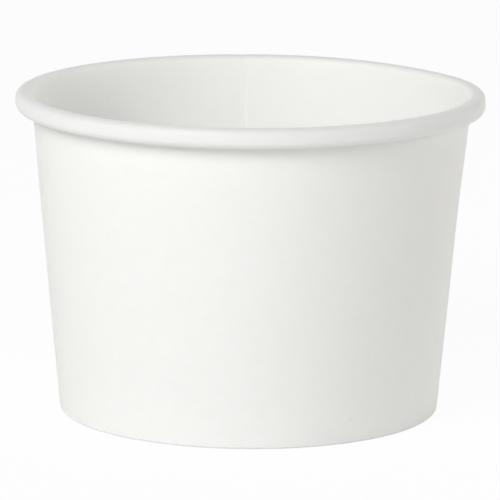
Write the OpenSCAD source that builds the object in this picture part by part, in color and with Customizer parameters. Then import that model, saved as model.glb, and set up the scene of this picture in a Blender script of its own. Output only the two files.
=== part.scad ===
// Paper soup cup of 240 ml, without its lid.
// Two pieces of coated board are sealed together: a side wall and a base disc.
// The side wall is one sheet, wrapped into a cone and lapped at the back.
// Its top edge is rolled outwards into the rim, and its bottom edge is turned
// in and up round the skirt of the base disc.
// The origin is on the table under the middle of the cup, and +Z is up.

/* [Cup] */
// Height from the table to the top of the rim
cup_h = 61.9; // [50:0.1:110]
// Outer diameter of the rolled rim
rim_d = 90; // [84:1:110]
// Outer diameter of the side wall where it reaches the table
base_d = 73; // [60:1:78]

/* [Board] */
// Thickness of the side wall's board
wall_t = 0.4; // [0.3:0.05:0.45]
// Thickness of the base disc's board
base_t = 0.4; // [0.3:0.05:0.6]
// Film of melted coating between sealed layers
seal_gap = 0.02; // [0.01:0.01:0.05]

/* [Rolled rim] */
// Width of the rim, from the inner face of the wall to its outer band
bead_w = 3.3; // [3.1:0.1:4]
// Height of the rim
bead_h = 3.8; // [3.4:0.1:5]
// Radius of the rim's rounded shoulders
bead_r = 1.45; // [1.2:0.05:1.55]
// Gap that the tucked edge leaves beside the wall where the sheet is lapped
curl_gap = 0.05; // [0.05:0.05:0.2]
// Radius that is left inside the tucked edge's bend where the sheet is lapped
curl_core_r = 0.1; // [0.05:0.05:0.2]
// Length of the tucked edge past its bend
tuck_h = 0.7; // [0.4:0.1:1]

/* [Side seam] */
// Width of the lap, where the sheet's two ends are sealed one over the other
lap_w = 7; // [5:0.5:10]
// Width over which the outer end comes back in beside the inner one
jog_w = 2.4; // [1.8:0.1:4]
// Direction of the inner end's cut edge, seen from above
seam_angle = 91.5; // [0:0.5:350]

/* [Foot] */
// Height of the base disc's upper face above the table
base_rise = 7; // [6.5:0.5:10]
// Height of the turned-in hem
hem_h = 5.4; // [4:0.1:5.6]
// Radius of the bend between the base disc and its skirt
base_bend_r = 1; // [0.7:0.1:1.5]
// Depth to which the fold is pressed flat where the cup stands
foot_press = 0.06; // [0.02:0.01:0.12]
// Clearance between the skirt's cut edge and the fold where it is lapped
skirt_clear = 0.1; // [0.05:0.05:0.5]

/* [Hidden] */
$fn = 180;
// Angle from one point to the next on a bend
bend_step = 7.5;
rim_r = rim_d / 2;
foot_r = base_d / 2;

// Taper of the wall, from its foot to where its inner face meets the rim
bead_z = cup_h - bead_r;
flare = rim_r - bead_w - foot_r;
taper = atan(flare / bead_z) + asin(wall_t / norm([flare, bead_z]));

// The fold holds the skirt in a slot, and half of the slot is the fold's radius
fold_r = base_t / 2 + seal_gap;
fold_z = fold_r + wall_t - foot_press;

// Turns of the seam on the wall's mean radius, in whole steps of the jog
jog_turn = 0.5;
mean_r = (rim_r - bead_w + foot_r) / 2;
function steps_in(width) = round(width / mean_r * 180 / PI / jog_turn);
lap_start = seam_angle - steps_in(lap_w) * jog_turn;
jog_steps = steps_in(jog_w);
jog_end = seam_angle + jog_steps * jog_turn;

// Unit vector at an angle
function dir(a) = [cos(a), sin(a)];

// Point at height z on a line that lies side mm out from the wall's outer face
function on_wall(side, z) = [foot_r + z * tan(taper) + side / cos(taper), z];

// A sheet is drawn along its face, the one that looks into the cup, as a list of
// [point, normal], and each normal goes through the sheet. A bend has a centre, a
// radius and two angles. Its side is 1 where the sheet lies outside the radius.
function bend(c, r, from, to, side) =
    let (n = ceil(abs(to - from) / bend_step))
    [for (i = [0:n]) let (d = dir(from + (to - from) * i / n)) [c + r * d, side * d]];

// Face of the side wall, from the hem's edge over the rim to the tucked edge.
// The fold is lifted where a second layer is folded under it.
hem_end = [on_wall(-wall_t - 2 * fold_r, hem_h), dir(180 - taper)];
function fold(lift) = bend(on_wall(-wall_t - fold_r, fold_z + lift), fold_r, 180 - taper, 360 - taper, 1);
inner_shoulder = bend(on_wall(bead_r - wall_t, bead_z), bead_r, 180 - taper, 90, -1);
outer_shoulder = bend([rim_r - bead_r, bead_z], bead_r, 90, 0, -1);
bead_foot = cup_h - bead_h;
under = bend([rim_r - bead_r, bead_foot + bead_r], bead_r, 0, -90, -1);
tuck_r = 2 * wall_t + curl_core_r;
tuck_side = wall_t + curl_gap + tuck_r;
tuck = bend(on_wall(tuck_side, bead_foot + tuck_r), tuck_r, -90, -180 - taper, -1);
tuck_end = [on_wall(tuck_side - tuck_r, bead_foot + tuck_r + tuck_h), dir(-taper)];
function wall_face(lift) =
    concat([hem_end], fold(lift), inner_shoulder, outer_shoulder, under, tuck, [tuck_end]);

// Face of the base disc, from its middle to the cut edge of its skirt
skirt_side = -wall_t - seal_gap;
base_bend_z = base_rise - base_bend_r;
base_bend = bend(on_wall(skirt_side - base_bend_r, base_bend_z), base_bend_r, 90, -taper, -1);
skirt_end = [on_wall(skirt_side, fold_z + wall_t + skirt_clear), dir(180 - taper)];
base_face = concat([[[0, base_rise], [0, -1]]], base_bend, [skirt_end]);

// Closed outline of a sheet between two depths below its face
function sheet(face, near, far) = concat(
    [for (p = face) p[0] + near * p[1]],
    [for (i = [len(face) - 1:-1:0]) face[i][0] + far * face[i][1]]);

// Section of the side wall's board between two depths, cut level where it is
// pressed on the table
module wall_section(near, far, lift) {
    intersection() {
        polygon(sheet(wall_face(lift), near, far));
        square([rim_d, cup_h]);
    }
}

// Part of a turn from one angle to another
module turn(from, to) {
    rotate_extrude(start = from, angle = to - from)
        children();
}

// The outer end where it leaves the lap and comes in, along a smooth curve of
// small steps, to lie beside the inner end
module jog() {
    for (i = [0:jog_steps - 1]) {
        depth = wall_t * (1 + cos(180 * (i + 0.5) / jog_steps)) / 2;
        turn(seam_angle + i * jog_turn, seam_angle + (i + 1) * jog_turn)
            wall_section(depth, depth + wall_t, depth);
    }
}

// The wrapped sheet: one layer most of the way round, two where it is lapped,
// and the jog between them
module side_wall() {
    color("white") {
        turn(jog_end, lap_start + 360)
            wall_section(0, wall_t, 0);
        turn(lap_start, seam_angle)
            wall_section(0, 2 * wall_t, wall_t);
        jog();
    }
}

// The drawn disc that closes the cup above the hem
module base_disc() {
    color("whitesmoke")
        rotate_extrude()
            polygon(sheet(base_face, 0, base_t));
}

side_wall();
base_disc();
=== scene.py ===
"""A white paper soup cup on a white studio floor.

The cup is two boards. The side wall is one sheet that starts at its outer raw edge in the
lap, jogs in beside its inner raw edge and goes once round the cup. The base is a disc with
a skirt, sealed between the wall and the hem. Lengths are in metres and angles in degrees.
"""
import math

import bmesh
import bpy
from mathutils import Matrix, Vector, noise


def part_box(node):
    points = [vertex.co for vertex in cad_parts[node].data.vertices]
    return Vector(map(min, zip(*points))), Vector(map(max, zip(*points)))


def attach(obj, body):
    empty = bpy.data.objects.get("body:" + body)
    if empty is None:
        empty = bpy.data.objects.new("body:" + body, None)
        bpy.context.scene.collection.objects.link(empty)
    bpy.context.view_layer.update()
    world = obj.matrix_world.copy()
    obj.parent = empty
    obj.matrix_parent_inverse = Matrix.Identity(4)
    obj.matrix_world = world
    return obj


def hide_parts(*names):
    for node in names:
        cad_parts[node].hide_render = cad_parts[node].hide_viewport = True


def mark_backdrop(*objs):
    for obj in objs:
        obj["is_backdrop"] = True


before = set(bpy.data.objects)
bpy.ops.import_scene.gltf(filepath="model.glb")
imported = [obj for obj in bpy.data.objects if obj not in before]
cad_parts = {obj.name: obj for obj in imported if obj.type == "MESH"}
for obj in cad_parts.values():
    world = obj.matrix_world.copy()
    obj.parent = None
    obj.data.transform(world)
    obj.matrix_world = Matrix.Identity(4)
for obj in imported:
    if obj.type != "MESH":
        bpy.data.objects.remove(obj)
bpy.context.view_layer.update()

MM = 0.001
WALL_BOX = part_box("side_wall")
BASE_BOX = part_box("base_disc")

# Sizes of the cup, its height from the frame
RIM_R = 45.0 * MM
CUP_H = WALL_BOX[1][2]
FOOT_R = 36.5 * MM
BOARD = 0.4 * MM
SEAL = 0.02 * MM

# Rolled rim
BEAD_W = 3.3 * MM
BEAD_H = 3.8 * MM
BEAD_R = 1.45 * MM
CURL_GAP = 0.05 * MM
CURL_CORE_R = 0.1 * MM
TUCK_H = 0.7 * MM

# Foot, the base's height from the frame
BASE_RISE = BASE_BOX[1][2]
HEM_H = 5.4 * MM
BASE_BEND_R = 1.0 * MM
FOOT_PRESS = 0.06 * MM
SKIRT_CLEAR = 0.1 * MM

# Lapped seam at the back, in degrees round the cup, and the film between its layers
LAP_START = 81.0
SEAM = 91.5
JOG_END = 96.5
LAP_FILM = 0.01 * MM

# The fold at the foot is lifted by the second layer: the turn before the lap in which it
# rises, the height at which the lift has ended, and the height over which it fades
LIFT_TURN = 4.0
LIFT_TOP = 6 * MM
LIFT_FADE = 5 * MM

# The seam is pressed thinner: each layer in the lap, and the inner layer at its raw edge in
# the wall and in the rim. The edge's bevel takes away a share of that.
LAP_BOARD = 0.3 * MM
EDGE_BOARD = 0.1 * MM
RIM_EDGE_BOARD = 0.06 * MM
RIM_EDGE_REACH = 1.5 * BEAD_H
BEVEL_SHARE = 0.8
PRESS_TURN = 2.5
BEVEL_TURN = 0.6

# Broad and fine waves of the wall. A wave's spread is the radius of the circle on which
# its noise is read, so a wider one has more waves, and its middle is taken off the noise.
WALL_WAVE = 0.06 * MM
WALL_WAVE_SPREAD = 2.2
WALL_WAVE_RISE = 22 * MM
WALL_WAVE_MIDDLE = 0.7
FINE_WAVE = 0.2 * WALL_WAVE
FINE_WAVE_SPREAD = 9.0
FINE_WAVE_RISE = 9 * MM
FINE_WAVE_SHIFT = 7
FINE_WAVE_MIDDLE = 0.5
WAVE_START = 9 * MM
WAVE_FADE = 30 * MM

# Lean of the upper wall to the right, with the heights between which it comes and goes
WALL_LEAN = 0.2 * MM
LEAN_START = 40 * MM
LEAN_COMES = 14 * MM
LEAN_END = 57.5 * MM
LEAN_GOES = 2.5 * MM

# Dips of the rim: small ones all round, and one wide sag at the back right
RIM_WAVE = 0.05 * MM
RIM_WAVE_SPREAD = 1.4
RIM_WAVE_SHIFT = 5
RIM_WAVE_LIMIT = 0.6
RIM_SAG = 0.28 * MM
RIM_SAG_ANGLE = 38.0
RIM_SAG_TURN = 38.0
RIM_DIP_REACH = 3 * BEAD_H
RIM_DIP_FADE = 2 * BEAD_H

# Knurls in the hem, and the height at which they begin
KNURLS = 120
KNURL_DEPTH = 0.05 * MM
KNURL_START = 1.2 * MM
KNURL_FADE = 0.6 * MM

# Crimps round the base's bend, and the sag of the base with its broad dents
CRIMPS = 96
CRIMP_DEPTH = 0.03 * MM
CRIMP_DRIFT = 3
CRIMP_DRIFT_SPREAD = 4
CRIMP_MIDDLE = 0.4 * BASE_BEND_R
BASE_SAG = 0.12 * MM
DENT_SHARE = 0.25
DENT_SCALE = 60
DENT_HEIGHT = 3.0
DENT_MIDDLE = 0.5
DENT_RIM = 3 * MM
DENT_FADE = 8 * MM

# Columns of the meshes
SEAM_STEP = 0.5
TURN_STEP = 0.75
BEVEL_COLUMNS = 6
BASE_COLUMNS = 480

# Spans of the sections, round the bends and along the straight stretches
FOLD_SPANS = 10
BEND_SPANS = 8
HEM_SPANS = 5
WALL_SPANS = 24
RIM_TOP_SPANS = 1
RIM_BAND_SPANS = 2
RIM_UNDER_SPANS = 1
TUCK_SPANS = 2
BASE_SPANS = 22
SKIRT_SPANS = 5
BASE_HOLE_R = 0.4 * MM
SHARP_ANGLE = 50.0

# Places of the finishes in a piece's list of materials
OUTSIDE, COATED, CUT_EDGE = 0, 1, 2

# Texture of the board, with the noise's scales in waves a metre
GRAIN_SCALE = 1500.0
MOTTLE_SCALE = 420.0
CLOUD_SCALE = 260.0
SPECK_SCALE = 520.0
FELT_SCALE = 2600.0
COARSE = 0.6
GRAIN_SHARE = 0.6
CLOUD_SHARE = 0.6
PULP_TONE = (0.984, 0.983, 0.98)
PULP_START = 0.5
SPECK = (0.82, 0.81, 0.78)
SPECK_START = 0.77
SPECK_END = 0.9
ROUGHNESS_SPREAD = 0.05
FELT_DEPTH = 0.02 * MM
BLACK = (0, 0, 0)
WHITE = (1, 1, 1)

# Width over which the coating goes from its lighter inside colour, which is painted light, to the
# greyer roll colour, which is painted shade, at the start of the roll
ROLL_SHADE_BLEND = 1.2 * MM

# Camera, fitted to the photograph's outline
LENS = 324.0
SENSOR = 36.0
CLIP_START = 0.05
CLIP_END = 20.0
CAMERA_DISTANCE = 0.8676
CAMERA_ELEVATION = 11.42
CAMERA_ROLL = 0.39
CAMERA_TARGET = (0.00011, 0.0, 0.03053)

# Studio. A window is an azimuth, a colour and a strength, and a softbox is a name, an
# azimuth, an elevation, a size and a power.
FLOOR_HALF = 4.0
FLOOR_COLOUR = (0.95, 0.95, 0.945)
FLOOR_ROUGHNESS = 0.9
FLOOR_WHITE_SHARE = 0.94
FILL_COLOUR = (1.0, 0.992, 0.955)
FILL_LEVEL = 0.08
WINDOWS = (
    (-45, (1.0, 1.0, 1.0), 0.79),
    (135, (1.0, 0.985, 0.93), 0.58),
    (180, (1.0, 0.985, 0.94), 1.18),
)
SOFTBOX_DISTANCE = 1.1
SOFTBOXES = (
    ("key_softbox", -35, 35, 0.5, 6.5),
    ("side_softbox", 50, 20, 0.7, 2.0),
    ("low_softbox", 110, 10, 0.35, 1.64),
)


def direction(angle):
    """Unit vector in the section plane at an angle in degrees."""
    a = math.radians(angle)
    return Vector((math.cos(a), math.sin(a)))


def smooth(x):
    """Smooth step from 0 to 1 as x goes from 0 to 1."""
    x = min(max(x, 0.0), 1.0)
    return x * x * (3 - 2 * x)


def noise_round(angle, spread, height, shift=0.0):
    """Noise on a circle round the cup, so that it meets itself after a turn."""
    a = math.radians(angle)
    return noise.noise(Vector((spread * math.cos(a) + shift, spread * math.sin(a), height)))


# Taper of the wall, from its foot to where its inner face meets the rim
BEAD_Z = CUP_H - BEAD_R
FLARE = RIM_R - BEAD_W - FOOT_R
TAPER = math.degrees(math.atan(FLARE / BEAD_Z) + math.asin(BOARD / math.hypot(FLARE, BEAD_Z)))
UP_WALL = direction(90 - TAPER)
FOLD_R = BOARD / 2 + SEAL
FOLD_Z = FOLD_R + BOARD - FOOT_PRESS


def on_wall(side, z):
    """Point at height z on a line that lies side out from the wall's outer face."""
    slope = math.radians(TAPER)
    return Vector((FOOT_R + z * math.tan(slope) + side / math.cos(slope), z))


def bend(centre, r, start, end, side, count=BEND_SPANS):
    """Points and normals of a sheet's face round a bend."""
    out = []
    for i in range(count + 1):
        d = direction(start + (end - start) * i / count)
        out.append((centre + r * d, side * d))
    return out


def straight(before, after, count):
    """Points and normals between two ends of a straight stretch, without the ends."""
    out = []
    for i in range(1, count):
        k = i / count
        out.append((before[0].lerp(after[0], k), before[1].lerp(after[1], k).normalized()))
    return out


def joined(stretches, counts):
    """Bends and ends joined by straight stretches of the given counts of spans."""
    out = list(stretches[0])
    for stretch, count in zip(stretches[1:], counts):
        out += straight(out[-1], stretch[0], count) + list(stretch)
    return out


def wall_face():
    """Face of the side wall, from the hem's edge over the rim to the tucked edge."""
    bead_foot = CUP_H - BEAD_H
    tuck_r = 2 * BOARD + CURL_CORE_R
    tuck_side = BOARD + CURL_GAP + tuck_r
    hem_end = (on_wall(-BOARD - 2 * FOLD_R, HEM_H), direction(180 - TAPER))
    fold_at = on_wall(-BOARD - FOLD_R, FOLD_Z)
    fold = bend(fold_at, FOLD_R, 180 - TAPER, 360 - TAPER, 1, FOLD_SPANS)
    inner = bend(on_wall(BEAD_R - BOARD, BEAD_Z), BEAD_R, 180 - TAPER, 90, -1)
    outer = bend(Vector((RIM_R - BEAD_R, BEAD_Z)), BEAD_R, 90, 0, -1)
    under = bend(Vector((RIM_R - BEAD_R, bead_foot + BEAD_R)), BEAD_R, 0, -90, -1)
    tuck = bend(on_wall(tuck_side, bead_foot + tuck_r), tuck_r, -90, -180 - TAPER, -1)
    tuck_end = (on_wall(tuck_side - tuck_r, bead_foot + tuck_r + TUCK_H), direction(-TAPER))
    return joined(
        [[hem_end], fold, inner, outer, under, tuck, [tuck_end]],
        [HEM_SPANS, WALL_SPANS, RIM_TOP_SPANS, RIM_BAND_SPANS, RIM_UNDER_SPANS, TUCK_SPANS])


def base_face():
    """Upper face of the base disc, from near its middle to its skirt's cut edge."""
    side = -BOARD - SEAL
    centre = (Vector((BASE_HOLE_R, BASE_RISE)), Vector((0, -1)))
    corner_at = on_wall(side - BASE_BEND_R, BASE_RISE - BASE_BEND_R)
    corner = bend(corner_at, BASE_BEND_R, 90, -TAPER, -1)
    skirt_end = (on_wall(side, FOLD_Z + BOARD + SKIRT_CLEAR), direction(180 - TAPER))
    return joined([[centre], corner, [skirt_end]], [BASE_SPANS, SKIRT_SPANS])


def inner_layer_far(before_edge, rim):
    """Depth of the inner layer's far face, at a turn in degrees before its raw edge."""
    edge = EDGE_BOARD + (RIM_EDGE_BOARD - EDGE_BOARD) * rim
    return edge + (LAP_BOARD - edge) * smooth(before_edge / PRESS_TURN)


def layer(angle, rim):
    """Near and far depth of the sheet at an angle.

    It starts as the lap's outer layer, comes in past the inner layer's raw edge, and
    ends as the inner layer, whose edge is pressed to a bevel. rim is 1 in the rim.
    """
    if angle < SEAM:
        near = inner_layer_far(SEAM - angle, rim) + LAP_FILM
        return near, near + LAP_BOARD
    if angle < JOG_END:
        left = 1 - smooth((angle - SEAM) / (JOG_END - SEAM))
        near = (inner_layer_far(0, rim) + LAP_FILM) * left
        return near, near + BOARD + (LAP_BOARD - BOARD) * left
    before_edge = SEAM + 360 - angle
    pressed = smooth((angle - 360 - LAP_START + PRESS_TURN) / PRESS_TURN)
    far = BOARD + (inner_layer_far(before_edge, rim) - BOARD) * pressed
    bevel = 1 - smooth(before_edge / BEVEL_TURN)
    return BEVEL_SHARE * bevel * inner_layer_far(0, rim), far


def fold_lift(angle):
    """Height by which the fold is lifted where two layers are folded."""
    if angle < JOG_END:
        return max(layer(angle, 0)[1] - BOARD, 0.0)
    coming = smooth((angle - 360 - LAP_START + LIFT_TURN) / LIFT_TURN)
    two_layers = layer(min(max(angle - 360, LAP_START), SEAM), 0)[1]
    return (two_layers - BOARD) * coming


def unevenness(angle, z):
    """Radial offset of the board, none at the foot, where the base holds it round."""
    wave = noise_round(angle, WALL_WAVE_SPREAD, z / WALL_WAVE_RISE)
    fine = noise_round(angle, FINE_WAVE_SPREAD, z / FINE_WAVE_RISE + FINE_WAVE_SHIFT)
    waves = WALL_WAVE * (wave - WALL_WAVE_MIDDLE) + FINE_WAVE * (fine - FINE_WAVE_MIDDLE)
    comes = smooth((z - LEAN_START) / LEAN_COMES)
    goes = smooth((z - LEAN_END) / LEAN_GOES)
    lean = WALL_LEAN * comes * (1 - goes) * math.cos(math.radians(angle))
    return lean + smooth((z - WAVE_START) / WAVE_FADE) * waves


def rim_dip(angle, z):
    """Small dips of the rolled rim below its highest line, and one wide sag."""
    wave = noise_round(angle, RIM_WAVE_SPREAD, 0.0, RIM_WAVE_SHIFT)
    away = abs((angle - RIM_SAG_ANGLE + 180) % 360 - 180)
    sag = RIM_SAG * smooth(1 - away / RIM_SAG_TURN)
    near_rim = smooth((z - (CUP_H - RIM_DIP_REACH)) / RIM_DIP_FADE)
    return near_rim * (RIM_WAVE * min(wave - RIM_WAVE_LIMIT, 0.0) - sag)


def knurl(angle):
    """Depth of the pressed ridges in the hem, which come from the wheel that seals it."""
    return KNURL_DEPTH * (0.5 - 0.5 * math.cos(math.radians(angle) * KNURLS))


def wall_columns():
    """Angles of the wall's columns, close together in the lap and the jog."""
    fine = int(round((JOG_END - LAP_START) / SEAM_STEP))
    angles = [LAP_START + SEAM_STEP * i for i in range(fine)]
    inner_lap = LAP_START + 360 - PRESS_TURN
    wide = int(round((inner_lap - JOG_END) / TURN_STEP))
    angles += [JOG_END + (inner_lap - JOG_END) * i / wide for i in range(wide)]
    bevel = SEAM + 360 - BEVEL_TURN
    fine = int(round((bevel - inner_lap) / SEAM_STEP))
    angles += [inner_lap + (bevel - inner_lap) * i / fine for i in range(fine)]
    return angles + [bevel + BEVEL_TURN * i / BEVEL_COLUMNS for i in range(BEVEL_COLUMNS + 1)]


def wall_point(row, p, n, angle, far):
    """Place in space of a point of the side wall's section, on its near or far face."""
    rim = smooth((p.y - (CUP_H - RIM_EDGE_REACH)) / BEAD_H)
    q = p + n * layer(angle, rim)[far]
    q = q + UP_WALL * fold_lift(angle) * smooth((LIFT_TOP - p.y) / LIFT_FADE)
    if far and row <= HEM_SPANS:
        q = q - n * knurl(angle) * smooth((p.y - KNURL_START) / KNURL_FADE)
    r = q.x + unevenness(angle, q.y)
    z = max(q.y + rim_dip(angle, q.y), 0.0)
    a = math.radians(angle)
    return (r * math.cos(a), r * math.sin(a), z)


def base_sag(angle, r):
    """Depth of the base's sag and of its broad dents at a radius."""
    inner = 1 - smooth(r / (FOOT_R - 2 * BASE_BEND_R))
    dent = noise_round(angle, r * DENT_SCALE, DENT_HEIGHT) - DENT_MIDDLE
    dent *= DENT_SHARE * smooth((FOOT_R - DENT_RIM - r) / DENT_FADE)
    return max(BASE_SAG * (inner + dent), 0.0)


def crimp(angle, z):
    """Depth of the small crimps round the base's bend."""
    drift = CRIMP_DRIFT * noise_round(angle, CRIMP_DRIFT_SPREAD, 0.0)
    ridge = 0.5 - 0.5 * math.cos(math.radians(angle) * CRIMPS + drift)
    away = abs(z - (BASE_RISE - BASE_BEND_R) - CRIMP_MIDDLE) / BASE_BEND_R
    return CRIMP_DEPTH * ridge * (1 - min(away, 1.0))


def base_point(row, p, n, angle, far):
    """Place in space of a point of the base's section, on its upper or lower face."""
    q = p + n * (BOARD * far + crimp(angle, p.y))
    a = math.radians(angle)
    return (q.x * math.cos(a), q.x * math.sin(a), q.y - base_sag(angle, p.x))


def finish_of(i, rows):
    """Finish of a face by its place in the ring: up the near face, and back on the far one."""
    if i < rows - 1:
        return COATED
    return CUT_EDGE if i in (rows - 1, 2 * rows - 1) else OUTSIDE


def sheet_mesh(name, face, point, columns, closed, materials):
    """Mesh of a sheet whose section is carried over the columns."""
    verts = []
    for angle in columns:
        near = [point(row, p, n, angle, 0) for row, (p, n) in enumerate(face)]
        far = [point(row, p, n, angle, 1) for row, (p, n) in enumerate(face)]
        verts += near + far[::-1]
    rows = len(face)
    ring = 2 * rows
    count = len(columns)
    faces = []
    slots = []
    for j in range(count if closed else count - 1):
        k = (j + 1) % count
        for i in range(ring):
            m = (i + 1) % ring
            faces.append((j * ring + i, k * ring + i, k * ring + m, j * ring + m))
            slots.append(finish_of(i, rows))
    if not closed:
        last = len(verts) - ring
        for i in range(rows - 1):
            far_i = ring - 1 - i
            faces.append((i, i + 1, far_i - 1, far_i))
            faces.append((last + far_i, last + far_i - 1, last + i + 1, last + i))
            slots += [CUT_EDGE, CUT_EDGE]
    mesh = bpy.data.meshes.new(name)
    mesh.from_pydata(verts, [], faces)
    for m in materials:
        mesh.materials.append(m)
    mesh.polygons.foreach_set("material_index", slots)
    mesh.polygons.foreach_set("use_smooth", [True] * len(faces))
    mesh.update()
    mesh.validate()
    mesh.set_sharp_from_angle(angle=math.radians(SHARP_ANGLE))
    piece = bpy.data.objects.new(name, mesh)
    bpy.context.scene.collection.objects.link(piece)
    return piece


def side_wall(materials):
    """The wrapped sheet with its rolled rim, its lap, its jog and its folded hem."""
    return sheet_mesh("cup_wall", wall_face(), wall_point, wall_columns(), False, materials)


def base_disc(materials):
    """The drawn disc with small crimps round its bend."""
    face = base_face()
    columns = [360 * j / BASE_COLUMNS for j in range(BASE_COLUMNS)]
    piece = sheet_mesh("cup_base", face, base_point, columns, True, materials)
    close_middle(piece, 2 * len(face))
    return piece


def close_middle(piece, ring):
    """Closes the small hole in the middle of the base with a face above and one below."""
    bm = bmesh.new()
    bm.from_mesh(piece.data)
    bm.verts.ensure_lookup_table()
    count = len(bm.verts) // ring
    hole = [f for f in bm.faces if all(v.index % ring in (0, ring - 1) for v in f.verts)]
    bmesh.ops.delete(bm, geom=hole, context="FACES_ONLY")
    bm.verts.ensure_lookup_table()
    top = bm.faces.new([bm.verts[j * ring] for j in range(count)])
    low = bm.faces.new([bm.verts[j * ring + ring - 1] for j in reversed(range(count))])
    top.material_index = COATED
    low.material_index = OUTSIDE
    top.smooth = low.smooth = True
    bmesh.ops.recalc_face_normals(bm, faces=bm.faces)
    bm.to_mesh(piece.data)
    bm.free()


def node_material(name):
    """New node material, with its nodes, its links and its principled shader."""
    m = bpy.data.materials.new(name)
    m.use_nodes = True
    nodes = m.node_tree.nodes
    return m, nodes, m.node_tree.links, nodes["Principled BSDF"]


def noise_node(nodes, links, coord, scale, detail, rough=0.5):
    """Noise over the object's own coordinates."""
    tex = nodes.new("ShaderNodeTexNoise")
    tex.inputs["Scale"].default_value = scale
    tex.inputs["Detail"].default_value = detail
    tex.inputs["Roughness"].default_value = rough
    links.new(coord.outputs["Object"], tex.inputs["Vector"])
    return tex.outputs["Fac"]


def ramp_node(nodes, links, source, *stops):
    """Colour ramp over two stops, each a position and a colour."""
    ramp = nodes.new("ShaderNodeValToRGB")
    for element, (place, colour) in zip(ramp.color_ramp.elements, stops):
        element.position = place
        element.color = (*colour, 1)
    links.new(source, ramp.inputs["Fac"])
    return ramp.outputs["Color"]


def colour_mix(nodes, links, share, first, second, blend="MIX"):
    """Mix of two colours by a share from 0 to 1. Each of the three is a value or an output."""
    mix = nodes.new("ShaderNodeMix")
    mix.data_type = "RGBA"
    mix.blend_type = blend
    for socket, value in ((mix.inputs[0], share), (mix.inputs[6], first), (mix.inputs[7], second)):
        if isinstance(value, tuple):
            socket.default_value = (*value, 1)
        elif isinstance(value, float):
            socket.default_value = value
        else:
            links.new(value, socket)
    return mix.outputs[2]


def sum_node(nodes, links, first, share, second):
    """First times a share, plus second."""
    total = nodes.new("ShaderNodeMath")
    total.operation = "MULTIPLY_ADD"
    links.new(first, total.inputs[0])
    total.inputs[1].default_value = share
    links.new(second, total.inputs[2])
    return total.outputs[0]


def roll_shade_share(nodes, links, coord):
    """Share of painted shade: 0 on the cup's inside, and 1 a little way out over the rim's roll."""
    flat = nodes.new("ShaderNodeVectorMath")
    flat.operation = "MULTIPLY"
    flat.inputs[1].default_value = (1, 1, 0)
    links.new(coord.outputs["Object"], flat.inputs[0])
    radius = nodes.new("ShaderNodeVectorMath")
    radius.operation = "LENGTH"
    links.new(flat.outputs["Vector"], radius.inputs[0])
    share = nodes.new("ShaderNodeMapRange")
    share.inputs["From Min"].default_value = RIM_R - BEAD_W
    share.inputs["From Max"].default_value = RIM_R - BEAD_W + ROLL_SHADE_BLEND
    links.new(radius.outputs["Value"], share.inputs["Value"])
    return share.outputs["Result"]


def board_material(name, colour, roughness, bump, gloss, roll=None):
    """White board: mottled pulp, faint specks and a fine felt of fibres.

    roll is the greyer colour that it turns to over the rim's roll. It is painted shade for the
    roll's dimly lit top.
    """
    m, nodes, links, shader = node_material(name)
    coord = nodes.new("ShaderNodeTexCoord")
    grain = noise_node(nodes, links, coord, GRAIN_SCALE, detail=4.0, rough=COARSE)
    mottle = noise_node(nodes, links, coord, MOTTLE_SCALE, detail=3.0)
    pulp = sum_node(nodes, links, grain, GRAIN_SHARE, mottle)
    tone = ramp_node(nodes, links, pulp, (PULP_START, PULP_TONE), (1.0, WHITE))
    # Painted shade: the colour is greyed over the rim's roll, where its top is dimly lit.
    if roll:
        colour = colour_mix(nodes, links, roll_shade_share(nodes, links, coord), colour, roll)
    mottled = colour_mix(nodes, links, 1.0, colour, tone, "MULTIPLY")
    specks = noise_node(nodes, links, coord, SPECK_SCALE, detail=1.0)
    mask = ramp_node(nodes, links, specks, (SPECK_START, BLACK), (SPECK_END, WHITE))
    links.new(colour_mix(nodes, links, mask, mottled, SPECK), shader.inputs["Base Color"])

    cloud = noise_node(nodes, links, coord, CLOUD_SCALE, detail=2.0)
    rough = nodes.new("ShaderNodeMapRange")
    rough.inputs["To Min"].default_value = roughness - ROUGHNESS_SPREAD
    rough.inputs["To Max"].default_value = roughness + ROUGHNESS_SPREAD
    links.new(cloud, rough.inputs["Value"])
    links.new(rough.outputs["Result"], shader.inputs["Roughness"])
    shader.inputs["Specular IOR Level"].default_value = gloss

    felt = noise_node(nodes, links, coord, FELT_SCALE, detail=3.0, rough=COARSE)
    bumps = nodes.new("ShaderNodeBump")
    bumps.inputs["Strength"].default_value = bump
    bumps.inputs["Distance"].default_value = FELT_DEPTH
    links.new(sum_node(nodes, links, cloud, CLOUD_SHARE, felt), bumps.inputs["Height"])
    links.new(bumps.outputs["Normal"], shader.inputs["Normal"])
    return m


def board_materials():
    """Outside, coated and cut-edge finishes of the board, in the order of their places."""
    return [
        board_material(
            "board_outside", (0.874, 0.873, 0.861), roughness=0.88, bump=0.5, gloss=0.06),
        # Coated face: its light colour inside the cup is painted light, and its greyer roll colour
        # is painted shade over the rim's roll.
        board_material(
            "board_coated", (0.95, 0.95, 0.935), roughness=0.55, bump=0.3, gloss=0.3,
            roll=(0.825, 0.826, 0.818)),
        board_material(
            "board_cut_edge", (0.85, 0.845, 0.82), roughness=0.9, bump=1.0, gloss=0.1),
    ]


def seen_directly(nodes, links):
    """1 for a ray from the camera, from a gloss or through a glass, and 0 for other light."""
    path = nodes.new("ShaderNodeLightPath")
    seen = path.outputs["Is Camera Ray"]
    for name in ("Is Glossy Ray", "Is Transmission Ray"):
        either = nodes.new("ShaderNodeMath")
        either.operation = "MAXIMUM"
        links.new(seen, either.inputs[0])
        links.new(path.outputs[name], either.inputs[1])
        seen = either.outputs[0]
    return seen


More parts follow.
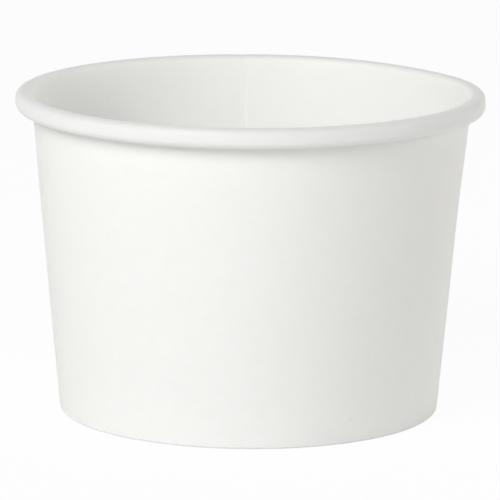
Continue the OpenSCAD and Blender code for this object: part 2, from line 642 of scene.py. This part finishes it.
def floor():
    """Pale floor that shows as white paper and keeps the cup's soft shadow."""
    mesh = bpy.data.meshes.new("floor")
    corners = [(x * FLOOR_HALF, y * FLOOR_HALF, 0) for x, y in ((-1, -1), (1, -1), (1, 1), (-1, 1))]
    mesh.from_pydata(corners, [], [(0, 1, 2, 3)])
    plane = bpy.data.objects.new("floor", mesh)
    bpy.context.scene.collection.objects.link(plane)
    m, nodes, links, shader = node_material("floor_paper")
    shader.inputs["Base Color"].default_value = (*FLOOR_COLOUR, 1)
    shader.inputs["Roughness"].default_value = FLOOR_ROUGHNESS
    shader.inputs["Specular IOR Level"].default_value = 0.0
    share = nodes.new("ShaderNodeMath")
    share.operation = "MULTIPLY"
    links.new(seen_directly(nodes, links), share.inputs[0])
    share.inputs[1].default_value = FLOOR_WHITE_SHARE
    white = nodes.new("ShaderNodeEmission")
    mix = nodes.new("ShaderNodeMixShader")
    links.new(share.outputs[0], mix.inputs["Fac"])
    links.new(shader.outputs["BSDF"], mix.inputs[1])
    links.new(white.outputs["Emission"], mix.inputs[2])
    links.new(mix.outputs["Shader"], nodes["Material Output"].inputs["Surface"])
    mesh.materials.append(m)
    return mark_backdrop(plane)


def compass(azimuth, elevation):
    """Direction from the cup. Azimuth 0 is in front, and -90 is on the left."""
    a = math.radians(azimuth)
    e = math.radians(elevation)
    return Vector((math.sin(a) * math.cos(e), -math.cos(a) * math.cos(e), math.sin(e)))


def window(nodes, links, azimuth, colour, strength):
    """Wide soft patch of the world's light, brightest at its azimuth on the horizon."""
    coord = nodes.new("ShaderNodeTexCoord")
    toward = nodes.new("ShaderNodeVectorMath")
    toward.operation = "DOT_PRODUCT"
    toward.inputs[1].default_value = compass(azimuth, 0)
    links.new(coord.outputs["Generated"], toward.inputs[0])
    level = nodes.new("ShaderNodeMath")
    level.operation = "MAXIMUM"
    level.inputs[1].default_value = 0.0
    links.new(toward.outputs["Value"], level.inputs[0])
    square = nodes.new("ShaderNodeMath")
    square.operation = "MULTIPLY"
    links.new(level.outputs[0], square.inputs[0])
    links.new(level.outputs[0], square.inputs[1])
    gain = nodes.new("ShaderNodeMath")
    gain.operation = "MULTIPLY"
    gain.inputs[1].default_value = strength
    links.new(square.outputs[0], gain.inputs[0])
    patch = nodes.new("ShaderNodeBackground")
    patch.inputs["Color"].default_value = (*colour, 1)
    links.new(gain.outputs[0], patch.inputs["Strength"])
    return patch


def world_light():
    """Even fill and wide soft windows round the cup, on a white backdrop."""
    world = bpy.data.worlds.new("studio")
    bpy.context.scene.world = world
    world.use_nodes = True
    nodes = world.node_tree.nodes
    links = world.node_tree.links
    fill = nodes["Background"]
    fill.inputs["Color"].default_value = (*FILL_COLOUR, 1)
    fill.inputs["Strength"].default_value = FILL_LEVEL
    total = fill.outputs["Background"]
    for azimuth, colour, strength in WINDOWS:
        patch = window(nodes, links, azimuth, colour, strength)
        both = nodes.new("ShaderNodeAddShader")
        links.new(total, both.inputs[0])
        links.new(patch.outputs["Background"], both.inputs[1])
        total = both.outputs["Shader"]
    backdrop = nodes.new("ShaderNodeBackground")
    backdrop.inputs["Color"].default_value = (*WHITE, 1)
    mix = nodes.new("ShaderNodeMixShader")
    links.new(seen_directly(nodes, links), mix.inputs["Fac"])
    links.new(total, mix.inputs[1])
    links.new(backdrop.outputs["Background"], mix.inputs[2])
    links.new(mix.outputs["Shader"], nodes["World Output"].inputs["Surface"])


def softbox(name, azimuth, elevation, size, power):
    """Square area lamp that faces the cup."""
    away = compass(azimuth, elevation)
    lamp = bpy.data.lights.new(name, "AREA")
    lamp.shape = "SQUARE"
    lamp.size = size
    lamp.energy = power
    box = bpy.data.objects.new(name, lamp)
    box.location = Vector((0, 0, CUP_H / 2)) + away * SOFTBOX_DISTANCE
    box.rotation_mode = "QUATERNION"
    box.rotation_quaternion = (-away).to_track_quat("-Z", "Y")
    bpy.context.scene.collection.objects.link(box)


def camera():
    """Camera at the photograph's angle, in front of the cup and a little above its rim."""
    data = bpy.data.cameras.new("camera")
    data.lens = LENS
    data.sensor_width = SENSOR
    data.clip_start = CLIP_START
    data.clip_end = CLIP_END
    e = math.radians(CAMERA_ELEVATION)
    back = Vector((0, -math.cos(e), math.sin(e)))
    level_right = Vector((1, 0, 0))
    level_up = back.cross(level_right)
    roll = math.radians(CAMERA_ROLL)
    right = level_right * math.cos(roll) + level_up * math.sin(roll)
    up = level_up * math.cos(roll) - level_right * math.sin(roll)
    turn = Matrix((right, up, back)).transposed().to_4x4()
    eye = bpy.data.objects.new("camera", data)
    eye.matrix_world = Matrix.Translation(Vector(CAMERA_TARGET) + back * CAMERA_DISTANCE) @ turn
    bpy.context.scene.collection.objects.link(eye)
    bpy.context.scene.camera = eye


camera()
finishes = board_materials()
wall = side_wall(finishes)
base = base_disc(finishes)
for piece, node, slot_name in ((wall, "side_wall", "wall_board"), (base, "base_disc", "base_board")):
    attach(piece, "root")
    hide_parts(node)
floor()
world_light()
for name, azimuth, elevation, size, power in SOFTBOXES:
    softbox(name, azimuth, elevation, size, power)
bpy.context.scene.view_settings.view_transform = "Standard"
